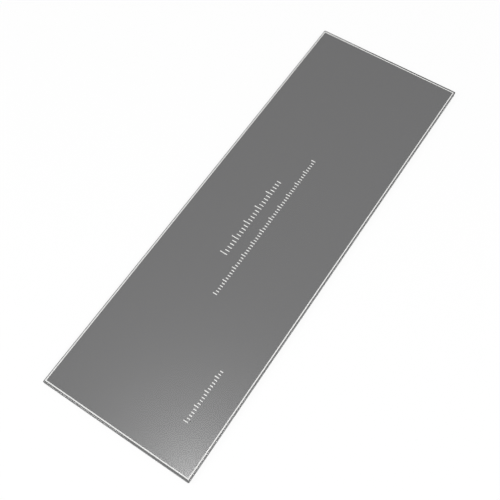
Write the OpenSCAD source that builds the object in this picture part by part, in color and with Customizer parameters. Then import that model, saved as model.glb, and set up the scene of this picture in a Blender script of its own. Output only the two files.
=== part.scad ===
// Icing smoother: one flat plate of see-through acrylic. Any of its four straight edges smooths the icing.
// Origin at the centre of the bottom face, X across the plate, Y along it, Z up. Millimetres.

/* [Plate] */
// Length of the plate, which is also the length of the two long working edges
plate_length = 304.8; // [270:0.1:400]
// Width of the plate, which is also the length of the two short working edges
plate_width = 101.6; // [90:0.1:200]
// Thickness of the acrylic sheet
plate_thickness = 3; // [2:0.1:8]

/* [Edges] */
// Width of the shallow top bevel along the two long edges, seen from above
long_bevel_width = 0.7; // [0.5:0.1:2]
// Width of the shallow top bevel along the two short edges, seen from above
short_bevel_width = 1.2; // [0.5:0.1:2]
// Depth of both bevels at the plate's edge
bevel_depth = 0.4; // [0.1:0.1:0.8]
// Radius that eases the arris where the bottom face meets an edge
arris_radius = 0.5; // [0.2:0.05:0.9]
// Radius of the four corners, seen from above
corner_radius = 0.8; // [0.3:0.1:6]

/* [Engraving] */
// Depth of the engraved ticks in the top face
engraving_depth = 0.15; // [0.05:0.05:0.5]
// Width of one tick's stroke
tick_width = 0.6; // [0.3:0.05:0.9]

/* [Bold scale] */
// Length of the bold scale, from its first tick to its last
bold_length = 60; // [20:2.5:80]
// Distance from the plate's centre line to the feet of the bold ticks
bold_offset = 8.5; // [6:0.5:20]
// Distance between neighbouring bold ticks
bold_pitch = 2.5; // [2:0.5:5]
// Height of a long bold tick
bold_long = 5; // [3:0.5:8]
// Height of a short bold tick
bold_short = 3; // [1:0.5:3]

/* [Fine scale] */
// Length of the fine scale, from its first tick to its last
fine_length = 110; // [40:2:130]
// Distance between neighbouring fine ticks
fine_pitch = 2; // [1.5:0.5:5]
// Height of a long fine tick
fine_long = 3; // [2.5:0.5:5]
// Height of a short fine tick
fine_short = 2; // [1:0.5:2.5]

/* [End scale] */
// Length of the end scale, from its first tick to its last
end_length = 34; // [10:2:40]
// Distance from the end of the plate to the end scale's first tick
end_margin = 26; // [10:1:30]
// Distance from the side of the plate to the feet of the end scale's ticks
end_side_margin = 19; // [8:0.5:24]

/* [Hidden] */
// Ticks from one long tick to the next
LONG_EVERY = 5;
// Length by which a cutter runs past the surface that it opens
OVERCUT = 1;
// Facets round a full circle
$fn = 64;

// Rectangle centred on the origin with its four corners rounded
module rounded_rectangle(width, height, radius) {
    square([width - 2 * radius, height], center = true);
    square([width, height - 2 * radius], center = true);
    for (x = [-1, 1], y = [-1, 1])
        translate([x * (width / 2 - radius), y * (height / 2 - radius)])
            circle(r = radius);
}

// Plate as seen from above, run straight up through the sheet's thickness
module cut_outline() {
    linear_extrude(height = plate_thickness)
        rounded_rectangle(plate_width, plate_length, corner_radius);
}

// Section through the sheet for a span between two opposite edges: bevelled on top, eased below
module edge_section(span, bevel_width) {
    edge = span / 2;
    wall_top = plate_thickness - bevel_depth;
    polygon([
        [-edge + arris_radius, 0],
        [edge - arris_radius, 0],
        [edge, arris_radius],
        [edge, wall_top],
        [edge - bevel_width, plate_thickness],
        [-edge + bevel_width, plate_thickness],
        [-edge, wall_top],
        [-edge, arris_radius]
    ]);
    for (x = [-1, 1])
        translate([x * (edge - arris_radius), arris_radius])
            circle(r = arris_radius);
}

// Section across the plate, run along the whole length, which shapes the two long edges
module shaped_long_edges() {
    rotate([90, 0, 0])
        linear_extrude(height = plate_length, center = true)
            edge_section(plate_width, long_bevel_width);
}

// Section along the plate, run across the whole width, which shapes the two short edges
module shaped_short_edges() {
    rotate([90, 0, 90])
        linear_extrude(height = plate_width, center = true)
            edge_section(plate_length, short_bevel_width);
}

// Cutter for one row of ticks along Y, centred on the origin, with the ticks' feet at X = 0 and tops towards -X
module tick_row(length, pitch, long, short) {
    count = floor(length / pitch);
    for (i = [0 : count]) {
        height = i % LONG_EVERY == 0 ? long : short;
        translate([-height, (i - count / 2) * pitch - tick_width / 2, 0])
            cube([height, tick_width, engraving_depth + OVERCUT]);
    }
}

// Cutters for the three scales, set to their depth in the top face
module scales() {
    translate([0, 0, plate_thickness - engraving_depth]) {
        translate([-bold_offset, 0, 0])
            tick_row(bold_length, bold_pitch, bold_long, bold_short);
        translate([fine_long / 2, 0, 0])
            tick_row(fine_length, fine_pitch, fine_long, fine_short);
        translate([
            plate_width / 2 - end_side_margin,
            -plate_length / 2 + end_margin + end_length / 2,
            0
        ])
            tick_row(end_length, fine_pitch, fine_long, fine_short);
    }
}

// The whole tool: the sheet's outline, its edges bevelled and eased, with the scales engraved
module scraper_plate() {
    color("dimgray")
        difference() {
            intersection() {
                cut_outline();
                shaped_long_edges();
                shaped_short_edges();
            }
            scales();
        }
}

scraper_plate();
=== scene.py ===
import math

import bmesh
import bpy
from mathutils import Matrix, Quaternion, Vector


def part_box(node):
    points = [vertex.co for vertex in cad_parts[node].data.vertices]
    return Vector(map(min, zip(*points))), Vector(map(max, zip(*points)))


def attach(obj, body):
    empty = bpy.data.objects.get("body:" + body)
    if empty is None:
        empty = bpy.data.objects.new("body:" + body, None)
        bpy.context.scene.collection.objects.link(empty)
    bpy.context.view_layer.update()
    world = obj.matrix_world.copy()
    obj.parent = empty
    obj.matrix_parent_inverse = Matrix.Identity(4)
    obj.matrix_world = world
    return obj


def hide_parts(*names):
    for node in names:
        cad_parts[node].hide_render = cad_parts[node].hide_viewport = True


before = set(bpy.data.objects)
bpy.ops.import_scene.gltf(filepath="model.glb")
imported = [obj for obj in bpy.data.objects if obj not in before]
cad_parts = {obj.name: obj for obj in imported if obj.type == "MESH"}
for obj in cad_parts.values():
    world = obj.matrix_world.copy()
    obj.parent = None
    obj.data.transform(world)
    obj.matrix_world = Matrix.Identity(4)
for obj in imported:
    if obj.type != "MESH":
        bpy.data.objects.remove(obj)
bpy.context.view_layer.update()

MM = 0.001

# Plate, whose length, width and thickness come from the frame
PLATE_LOW, PLATE_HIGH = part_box("scraper_plate")
PLATE_SIZE = PLATE_HIGH - PLATE_LOW
CORNER_RADIUS = 0.8 * MM
LONG_BEVEL_WIDTH = 0.7 * MM
SHORT_BEVEL_WIDTH = 1.2 * MM
BEVEL_DEPTH = 0.4 * MM
ARRIS_RADIUS = 0.5 * MM
ROUND_SEGMENTS = 6
# Pale line painted where the bevel meets the top face: a painted highlight standing in for the glint along
# the edge
HIGHLIGHT_LINE_WIDTH = 0.7 * MM
# Distance within which a vertex counts as lying on a face of the plate
ON_FACE = 0.01 * MM
# Least share of a face's normal along Z with which it counts as level, and greatest as upright
LEVEL, UPRIGHT = 0.9, 0.1
# Least share of a face's normal along one axis with which it is shaded flat
FLAT = 0.999

# Engraved scales, in the places and sizes of the part's source
ENGRAVING_DEPTH = 0.15 * MM
TICK_WIDTH = 0.6 * MM
LONG_EVERY = 5
OVERCUT = 1 * MM
BOLD_LENGTH, BOLD_PITCH = 60 * MM, 2.5 * MM
BOLD_LONG, BOLD_SHORT = 5 * MM, 3 * MM
BOLD_OFFSET = 8.5 * MM
FINE_LENGTH, FINE_PITCH = 110 * MM, 2 * MM
FINE_LONG, FINE_SHORT = 3 * MM, 2 * MM
END_LENGTH = 34 * MM
END_MARGIN, END_SIDE_MARGIN = 26 * MM, 19 * MM

# How much of each surface is frosted, or painted pale as a highlight line, rather than polished, kept on
# the mesh as a face attribute
FROST_AND_HIGHLIGHT_ATTRIBUTE = "frost_and_highlight"
# The satin share is a painted highlight: a pale band standing in for the glint where the bevel meets the
# top face
POLISHED, PAINTED_HIGHLIGHT, ENGRAVED = 0.0, 0.95, 1.0

# Acrylic
ACRYLIC_IOR = 1.49
TINT_DENSITY = 535.0
# The frost colour also paints the highlight line inside the bevel pale
CLEAR_COLOUR, FROST_AND_HIGHLIGHT_COLOUR = "#FFFFFF", "#F4F4F2"
FROST_ROUGHNESS = 0.55
FROST_AND_HIGHLIGHT_TRANSMISSION = 0.15
LEAST_POLISH, MOST_POLISH = 0.015, 0.05
GRAIN_SIZE = 0.4 * MM
HAZE_SIZE = 15 * MM

# Card that the plate lies on
CARD_SIDE = 8.0
CARD_DARK, CARD_LIGHT = "#F0F0F0", "#F3F3F3"
CARD_ROUGHNESS = 0.9
FIBRE_SIZE = 2 * MM
# Share of plain white in the card as it is seen; the rest takes the plate's shadow
PLAIN_SHARE = 0.9
# Air under the plate, which keeps its polished face from being in optical contact with the card
AIR_GAP = 0.1 * MM

# Studio: its even level, and a small overhead lamp by its direction, strength and angle of fall-off
STUDIO_LEVEL = 0.5
GLOW_DIRECTION = Vector((-0.194, 0.099, 0.976)).normalized()
GLOW_STRENGTH = 7.3
GLOW_ANGLE = math.radians(3.55)

# Soft boxes: place, side and power in watts
KEY_PLACE, KEY_POWER = Vector((0.9, -0.7, 1.1)), 14
FILL_PLACE, FILL_POWER = Vector((-0.9, -0.9, 0.9)), 8
SOFT_BOX_SIDE = 0.8

# Camera, found by fitting the plate's four corners in the photograph
CAMERA_AZIMUTH = math.radians(37.69)
CAMERA_ELEVATION = math.radians(62.84)
CAMERA_ROLL = math.radians(-4.37)
CAMERA_AIM = Vector((0.0004, -0.0186, 0))
CAMERA_DISTANCE = 0.4912
LENS, SENSOR = 58.06, 36


def linear(hex_colour):
    """Colour written as sRGB hex, as linear RGBA."""
    channels = []
    for start in (1, 3, 5):
        value = int(hex_colour[start:start + 2], 16) / 255
        if value <= 0.04045:
            channels.append(value / 12.92)
        else:
            channels.append(((value + 0.055) / 1.055) ** 2.4)
    return (*channels, 1.0)


def add_node(tree, kind, settings=None, **inputs):
    """Node with its settings. An input is called by its name, or _0, _1 and so on by its number.

    An input given as a socket is linked, and any other value is set.
    """
    node = tree.nodes.new(kind)
    for name, value in (settings or {}).items():
        setattr(node, name, value)
    for name, value in inputs.items():
        key = int(name[1:]) if name[1:].isdigit() else name.replace("_", " ")
        if isinstance(value, bpy.types.NodeSocket):
            tree.links.new(value, node.inputs[key])
        else:
            node.inputs[key].default_value = value
    return node


def add_box(name, low, high):
    """Box between two corners, as its own object, with its place in its mesh."""
    bpy.ops.object.select_all(action="DESELECT")
    bpy.ops.mesh.primitive_cube_add(size=1, location=(low + high) / 2)
    box = bpy.context.object
    box.name = name
    box.scale = high - low
    bpy.ops.object.transform_apply(location=True, rotation=False, scale=True)
    return box


def select_parts(piece, kind, chosen):
    """Enters edit mode with only the faces, edges or vertices selected for which chosen(part) holds."""
    bpy.ops.object.mode_set(mode="EDIT")
    bpy.ops.mesh.select_mode(type=kind)
    bpy.ops.mesh.select_all(action="DESELECT")
    mesh = bmesh.from_edit_mesh(piece.data)
    parts = {"FACE": mesh.faces, "EDGE": mesh.edges, "VERT": mesh.verts}[kind]
    for part in parts:
        part.select = chosen(part)
    bmesh.update_edit_mesh(piece.data)


def is_top_face(face):
    """Whether a face is level and looks up."""
    return face.normal.z > LEVEL


def is_top_corner(vertex):
    """Whether a vertex is one of the plate's four upper corners."""
    at_side = abs(vertex.co.x) > PLATE_HIGH.x - ON_FACE
    return at_side and vertex.co.z > PLATE_HIGH.z - ON_FACE


def is_upright(edge):
    """Whether an edge runs straight up through the thickness."""
    first, second = (vertex.co for vertex in edge.verts)
    return abs(first.z - second.z) > PLATE_SIZE.z / 2


def is_bottom_rim(edge):
    """Whether an edge is where the bottom face meets a wall."""
    tilts = [face.normal.z for face in edge.link_faces]
    return min(tilts) < -LEVEL and max(tilts) > -UPRIGHT


def bevel_top(piece):
    """Shallow bevel round the top face, with a narrow level band inside it for the painted highlight line.
    """
    select_parts(piece, "FACE", is_top_face)
    bpy.ops.mesh.inset(thickness=SHORT_BEVEL_WIDTH)
    widening = (PLATE_HIGH.x - LONG_BEVEL_WIDTH) / (PLATE_HIGH.x - SHORT_BEVEL_WIDTH)
    bpy.ops.transform.resize(value=(widening, 1, 1), center_override=(0, 0, 0))
    bpy.ops.mesh.inset(thickness=HIGHLIGHT_LINE_WIDTH)

    select_parts(piece, "VERT", is_top_corner)
    bpy.ops.transform.translate(value=(0, 0, -BEVEL_DEPTH))
    bpy.ops.object.mode_set(mode="OBJECT")


def round_edges(piece, chosen, radius):
    """Rounds the edges for which chosen(edge) holds."""
    select_parts(piece, "EDGE", chosen)
    bpy.ops.mesh.bevel(offset=radius, segments=ROUND_SEGMENTS, affect="EDGES")
    bpy.ops.object.mode_set(mode="OBJECT")


def add_tick(name, foot, middle, height):
    """Cutter for one tick, with its foot at X = foot and its top towards -X."""
    top = PLATE_HIGH.z
    low = Vector((foot - height, middle - TICK_WIDTH / 2, top - ENGRAVING_DEPTH))
    high = Vector((foot, middle + TICK_WIDTH / 2, top + OVERCUT))
    return add_box(name, low, high)


def add_scale(name, foot, middle, length, pitch, heights):
    """Cutters of one row of ticks along Y, each a copy of the long tick or the short one."""
    long_tick, short_tick = (add_tick(name, foot, middle - length / 2, height) for height in heights)
    ticks = []
    for i in range(round(length / pitch) + 1):
        pattern = long_tick if i % LONG_EVERY == 0 else short_tick
        tick = pattern.copy()
        tick.data = pattern.data.copy()
        tick.location.y = i * pitch
        bpy.context.collection.objects.link(tick)
        ticks.append(tick)
    bpy.data.objects.remove(long_tick)
    bpy.data.objects.remove(short_tick)
    return ticks


def add_scales():
    """Cutters of the three engraved scales, joined."""
    ticks = add_scale(
        "bold_tick", -BOLD_OFFSET, 0, BOLD_LENGTH, BOLD_PITCH, (BOLD_LONG, BOLD_SHORT)
    )
    ticks += add_scale(
        "fine_tick", FINE_LONG / 2, 0, FINE_LENGTH, FINE_PITCH, (FINE_LONG, FINE_SHORT)
    )
    ticks += add_scale(
        "end_tick",
        PLATE_HIGH.x - END_SIDE_MARGIN,
        PLATE_LOW.y + END_MARGIN + END_LENGTH / 2,
        END_LENGTH,
        FINE_PITCH,
        (FINE_LONG, FINE_SHORT),
    )
    bpy.ops.object.select_all(action="DESELECT")
    for tick in ticks:
        tick.select_set(True)
    bpy.context.view_layer.objects.active = ticks[0]
    bpy.ops.object.join()
    cutter = bpy.context.object
    bpy.ops.object.transform_apply(location=True, rotation=False, scale=False)
    return cutter


def engrave(plate):
    """Cuts the scales into the plate's top face."""
    cutter = add_scales()
    bpy.ops.object.select_all(action="DESELECT")
    plate.select_set(True)
    bpy.context.view_layer.objects.active = plate
    cut = plate.modifiers.new("engraving", "BOOLEAN")
    cut.operation = "DIFFERENCE"
    cut.solver = "EXACT"
    cut.object = cutter
    bpy.ops.object.modifier_apply(modifier=cut.name)
    bpy.data.objects.remove(cutter)


def inside_bevel(face):
    """How far inside the bevels a face lies: its least distance from where any of them ends."""
    across = max(abs(vertex.co.x) for vertex in face.verts)
    along = max(abs(vertex.co.y) for vertex in face.verts)
    return min(
        PLATE_HIGH.x - LONG_BEVEL_WIDTH - across,
        PLATE_HIGH.y - SHORT_BEVEL_WIDTH - along,
    )


def finish_of(face):
    """How far a face is frosted or painted pale: engraved grooves most, the painted highlight line inside
    the bevel less, the rest not.
    """
    low = min(vertex.co.z for vertex in face.verts)
    if low > PLATE_HIGH.z - ON_FACE:
        # The level band just inside the bevel is painted pale as a highlight
        return PAINTED_HIGHLIGHT if inside_bevel(face) < HIGHLIGHT_LINE_WIDTH / 2 else POLISHED
    is_cut = low > PLATE_HIGH.z - ENGRAVING_DEPTH - ON_FACE
    return ENGRAVED if is_cut and inside_bevel(face) > HIGHLIGHT_LINE_WIDTH else POLISHED


def finish_faces(plate):
    """Marks what is frosted and where the highlight line is painted, and shades all but the faces along the
    axes smooth, as buffing leaves them.
    """
    mesh = bmesh.new()
    mesh.from_mesh(plate.data)
    frost_and_highlight = mesh.faces.layers.float.new(FROST_AND_HIGHLIGHT_ATTRIBUTE)
    for face in mesh.faces:
        face[frost_and_highlight] = finish_of(face)
        face.smooth = max(map(abs, face.normal)) <= FLAT
    mesh.to_mesh(plate.data)
    mesh.free()


def build_plate(material):
    """The sheet: sawn to size, bevelled on top, corners and lower arris rounded, scales engraved."""
    plate = add_box("acrylic_plate", PLATE_LOW, PLATE_HIGH)
    bevel_top(plate)
    round_edges(plate, is_upright, CORNER_RADIUS)
    round_edges(plate, is_bottom_rim, ARRIS_RADIUS)
    engrave(plate)
    finish_faces(plate)
    plate.data.materials.clear()
    plate.data.materials.append(material)
    return plate


def smoke_acrylic():
    """Cast acrylic, smoke grey all through: a clear grey body, a mirror gloss, pale frosted engraving and a
    pale painted highlight line inside the bevel.
    """
    material = bpy.data.materials.new("cast_acrylic_smoke")
    material.use_nodes = True
    tree = material.node_tree
    shader = tree.nodes["Principled BSDF"]
    place = add_node(tree, "ShaderNodeTexCoord").outputs["Object"]

    # Frosted engraving and the painted highlight line, whose fine grain makes them a little deeper here and
    # thinner there
    frost_and_highlight = add_node(
        tree, "ShaderNodeAttribute", {"attribute_name": FROST_AND_HIGHLIGHT_ATTRIBUTE}
    ).outputs["Fac"]
    grain = add_node(
        tree, "ShaderNodeTexNoise", Vector=place, Scale=1 / GRAIN_SIZE, Detail=3.0
    ).outputs["Fac"]
    depth = add_node(
        tree, "ShaderNodeMapRange", Value=grain, To_Min=0.75, To_Max=1.15
    ).outputs["Result"]
    frosting_and_highlight = add_node(
        tree, "ShaderNodeMath", {"operation": "MULTIPLY", "use_clamp": True}, _0=frost_and_highlight, _1=depth
    ).outputs["Value"]

    # Polished faces, with a haze in soft streaks from wiping that breaks the gloss up very slightly
    haze = add_node(
        tree, "ShaderNodeTexNoise", Vector=place, Scale=1 / HAZE_SIZE, Detail=4.0, Distortion=0.6
    ).outputs["Fac"]
    polished_roughness = add_node(
        tree,
        "ShaderNodeMapRange",
        Value=haze,
        From_Min=0.3,
        From_Max=0.7,
        To_Min=LEAST_POLISH,
        To_Max=MOST_POLISH,
    ).outputs["Result"]
    roughness = add_node(
        tree,
        "ShaderNodeMix",
        {"data_type": "FLOAT"},
        _0=frosting_and_highlight,
        _2=polished_roughness,
        _3=FROST_ROUGHNESS,
    ).outputs[0]
    # Less transmission and a pale colour for the frosted engraving and for the painted highlight line
    transmission = add_node(
        tree, "ShaderNodeMapRange", Value=frosting_and_highlight, To_Min=1.0, To_Max=FROST_AND_HIGHLIGHT_TRANSMISSION
    ).outputs["Result"]
    colour = add_node(
        tree,
        "ShaderNodeMix",
        {"data_type": "RGBA"},
        _0=frosting_and_highlight,
        _6=linear(CLEAR_COLOUR),
        _7=linear(FROST_AND_HIGHLIGHT_COLOUR),
    ).outputs[2]

    tree.links.new(colour, shader.inputs["Base Color"])
    tree.links.new(roughness, shader.inputs["Roughness"])
    tree.links.new(transmission, shader.inputs["Transmission Weight"])
    shader.inputs["IOR"].default_value = ACRYLIC_IOR

    # Smoke tint of the sheet: what reaches the eye falls by the same share in each millimetre
    tint = add_node(tree, "ShaderNodeVolumeAbsorption")
    tint.inputs["Color"].default_value = (0.0, 0.0, 0.005, 1.0)
    tint.inputs["Density"].default_value = TINT_DENSITY
    tree.links.new(tint.outputs["Volume"], tree.nodes["Material Output"].inputs["Volume"])
    return material


def seen_share(tree):
    """1 for what is seen, directly, mirrored or through the plate, and 0 for the light on things."""
    path = add_node(tree, "ShaderNodeLightPath").outputs
    mirrored = add_node(
        tree,
        "ShaderNodeMath",
        {"operation": "MAXIMUM"},
        _0=path["Is Camera Ray"],
        _1=path["Is Glossy Ray"],
    ).outputs["Value"]
    return add_node(
        tree,
        "ShaderNodeMath",
        {"operation": "MAXIMUM"},
        _0=mirrored,
        _1=path["Is Transmission Ray"],
    ).outputs["Value"]


def white_card():
    """Matt white card: a plain white ground that still takes the plate's faint shadow."""
    material = bpy.data.materials.new("matt_white_card")
    material.use_nodes = True
    tree = material.node_tree
    shader = tree.nodes["Principled BSDF"]
    place = add_node(tree, "ShaderNodeTexCoord").outputs["Object"]
    fibres = add_node(
        tree, "ShaderNodeTexNoise", Vector=place, Scale=1 / FIBRE_SIZE, Detail=2.0
    ).outputs["Fac"]
    colour = add_node(
        tree,
        "ShaderNodeMix",
        {"data_type": "RGBA"},
        _0=fibres,
        _6=linear(CARD_DARK),
        _7=linear(CARD_LIGHT),
    ).outputs[2]
    tree.links.new(colour, shader.inputs["Base Color"])
    shader.inputs["Roughness"].default_value = CARD_ROUGHNESS
    shader.inputs["Specular IOR Level"].default_value = 0.0
    white = add_node(tree, "ShaderNodeEmission", Strength=1.0).outputs["Emission"]
    share = add_node(
        tree, "ShaderNodeMath", {"operation": "MULTIPLY"}, _0=seen_share(tree), _1=PLAIN_SHARE
    ).outputs["Value"]
    ground = add_node(
        tree, "ShaderNodeMixShader", _0=share, _1=shader.outputs["BSDF"], _2=white
    ).outputs["Shader"]
    tree.links.new(ground, tree.nodes["Material Output"].inputs["Surface"])
    return material


def build_ground():
    """Sheet of card that the plate lies on, just under it."""
    bpy.ops.object.select_all(action="DESELECT")
    bpy.ops.mesh.primitive_plane_add(size=CARD_SIDE, location=(0, 0, -AIR_GAP))
    ground = bpy.context.object
    ground.name = "ground"
    ground.data.materials.append(white_card())


def light_world():
    """Even white studio, with one small lamp overhead whose glow the plate mirrors at its near corner."""
    world = bpy.data.worlds.new("studio")
    bpy.context.scene.world = world
    world.use_nodes = True
    tree = world.node_tree
    background = tree.nodes["Background"]
    direction = add_node(tree, "ShaderNodeTexCoord").outputs["Generated"]
    closeness = add_node(
        tree,
        "ShaderNodeVectorMath",
        {"operation": "DOT_PRODUCT"},
        _0=direction,
        _1=GLOW_DIRECTION,
    ).outputs["Value"]
    angle = add_node(
        tree, "ShaderNodeMath", {"operation": "ARCCOSINE"}, _0=closeness
    ).outputs["Value"]
    falling = add_node(
        tree, "ShaderNodeMath", {"operation": "DIVIDE"}, _0=angle, _1=-GLOW_ANGLE
    ).outputs["Value"]
    glow = add_node(
        tree, "ShaderNodeMath", {"operation": "EXPONENT"}, _0=falling
    ).outputs["Value"]
    studio = add_node(
        tree,
        "ShaderNodeMath",
        {"operation": "MULTIPLY_ADD"},
        _0=glow,
        _1=GLOW_STRENGTH,
        _2=STUDIO_LEVEL,
    ).outputs["Value"]
    camera_ray = add_node(tree, "ShaderNodeLightPath").outputs["Is Camera Ray"]
    strength = add_node(
        tree, "ShaderNodeMix", {"data_type": "FLOAT"}, _0=camera_ray, _2=studio, _3=1.0
    ).outputs[0]
    tree.links.new(strength, background.inputs["Strength"])
    background.inputs["Color"].default_value = linear("#FFFFFF")


def add_soft_box(name, place, power):
    """Square soft box, turned to the plate."""
    data = bpy.data.lights.new(name, "AREA")
    data.shape = "SQUARE"
    data.size = SOFT_BOX_SIDE
    data.energy = power
    lamp = bpy.data.objects.new(name, data)
    bpy.context.collection.objects.link(lamp)
    lamp.location = place
    lamp.rotation_mode = "QUATERNION"
    lamp.rotation_quaternion = (-place).to_track_quat("-Z", "Y")


def place_camera():
    """The photograph's camera."""
    back = Vector((
        math.sin(CAMERA_AZIMUTH) * math.cos(CAMERA_ELEVATION),
        -math.cos(CAMERA_AZIMUTH) * math.cos(CAMERA_ELEVATION),
        math.sin(CAMERA_ELEVATION),
    ))
    data = bpy.data.cameras.new("camera")
    data.lens = LENS
    data.sensor_width = SENSOR
    data.clip_start = 10 * MM
    camera = bpy.data.objects.new("camera", data)
    bpy.context.collection.objects.link(camera)
    camera.location = CAMERA_AIM + back * CAMERA_DISTANCE
    camera.rotation_mode = "QUATERNION"
    upright = (-back).to_track_quat("-Z", "Y")
    camera.rotation_quaternion = upright @ Quaternion((0, 0, 1), CAMERA_ROLL)
    bpy.context.scene.camera = camera


plate = build_plate(smoke_acrylic())
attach(plate, "root")
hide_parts("scraper_plate")

build_ground()
light_world()
add_soft_box("key", KEY_PLACE, KEY_POWER)
add_soft_box("fill", FILL_PLACE, FILL_POWER)
place_camera()

bpy.context.scene.view_settings.view_transform = "Standard"
